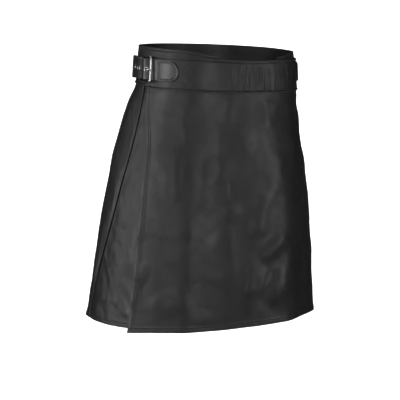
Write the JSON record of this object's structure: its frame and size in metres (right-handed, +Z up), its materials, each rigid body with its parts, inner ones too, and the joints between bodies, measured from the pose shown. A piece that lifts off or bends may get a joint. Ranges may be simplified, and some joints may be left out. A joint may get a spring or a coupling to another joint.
{
  "type": "leather kilt",
  "caption": "Wrap kilt of black leather in its worn hollow form, with a flat front apron, knife pleats behind, two waistbands and a strap and buckle on each hip.",
  "frame": {"origin": "middle of the waist ring, half way up the waistband, where the wearer's waist holds the kilt", "axes": "+Z up, the front apron faces -Y, the wearer's left is +X"},
  "size_m": [0.443, 0.3439, 0.5096],
  "materials": {
    "panel_leather": "black full-grain cowhide, fine grain, semi-matt",
    "band_leather": "black full-grain cowhide, fine grain, semi-matt",
    "strap_leather": "black strap leather, smooth, light sheen",
    "nickel": "polished nickel plate on steel"
  },
  "bodies": {
    "root": {"apron_panel": "panel_leather", "apron_band": "band_leather", "wrap_band": "band_leather", "side_panel_right": "panel_leather", "side_panel_left": "panel_leather", "pleat_1_right": "panel_leather", "pleat_2_right": "panel_leather", "pleat_3_right": "panel_leather", "pleat_1_left": "panel_leather", "pleat_2_left": "panel_leather", "pleat_3_left": "panel_leather", "back_panel": "panel_leather", "strap_right": "strap_leather", "strap_left": "strap_leather", "chape_right": "strap_leather", "chape_left": "strap_leather", "keeper_right": "strap_leather", "keeper_left": "strap_leather", "buckle_frame_right": "nickel", "buckle_frame_left": "nickel", "prong_right": "nickel", "prong_left": "nickel", "eyelet_1_right": "nickel", "eyelet_2_right": "nickel", "eyelet_3_right": "nickel", "eyelet_4_right": "nickel", "eyelet_1_left": "nickel", "eyelet_2_left": "nickel", "eyelet_3_left": "nickel", "eyelet_4_left": "nickel"}
  },
  "joints": []
}
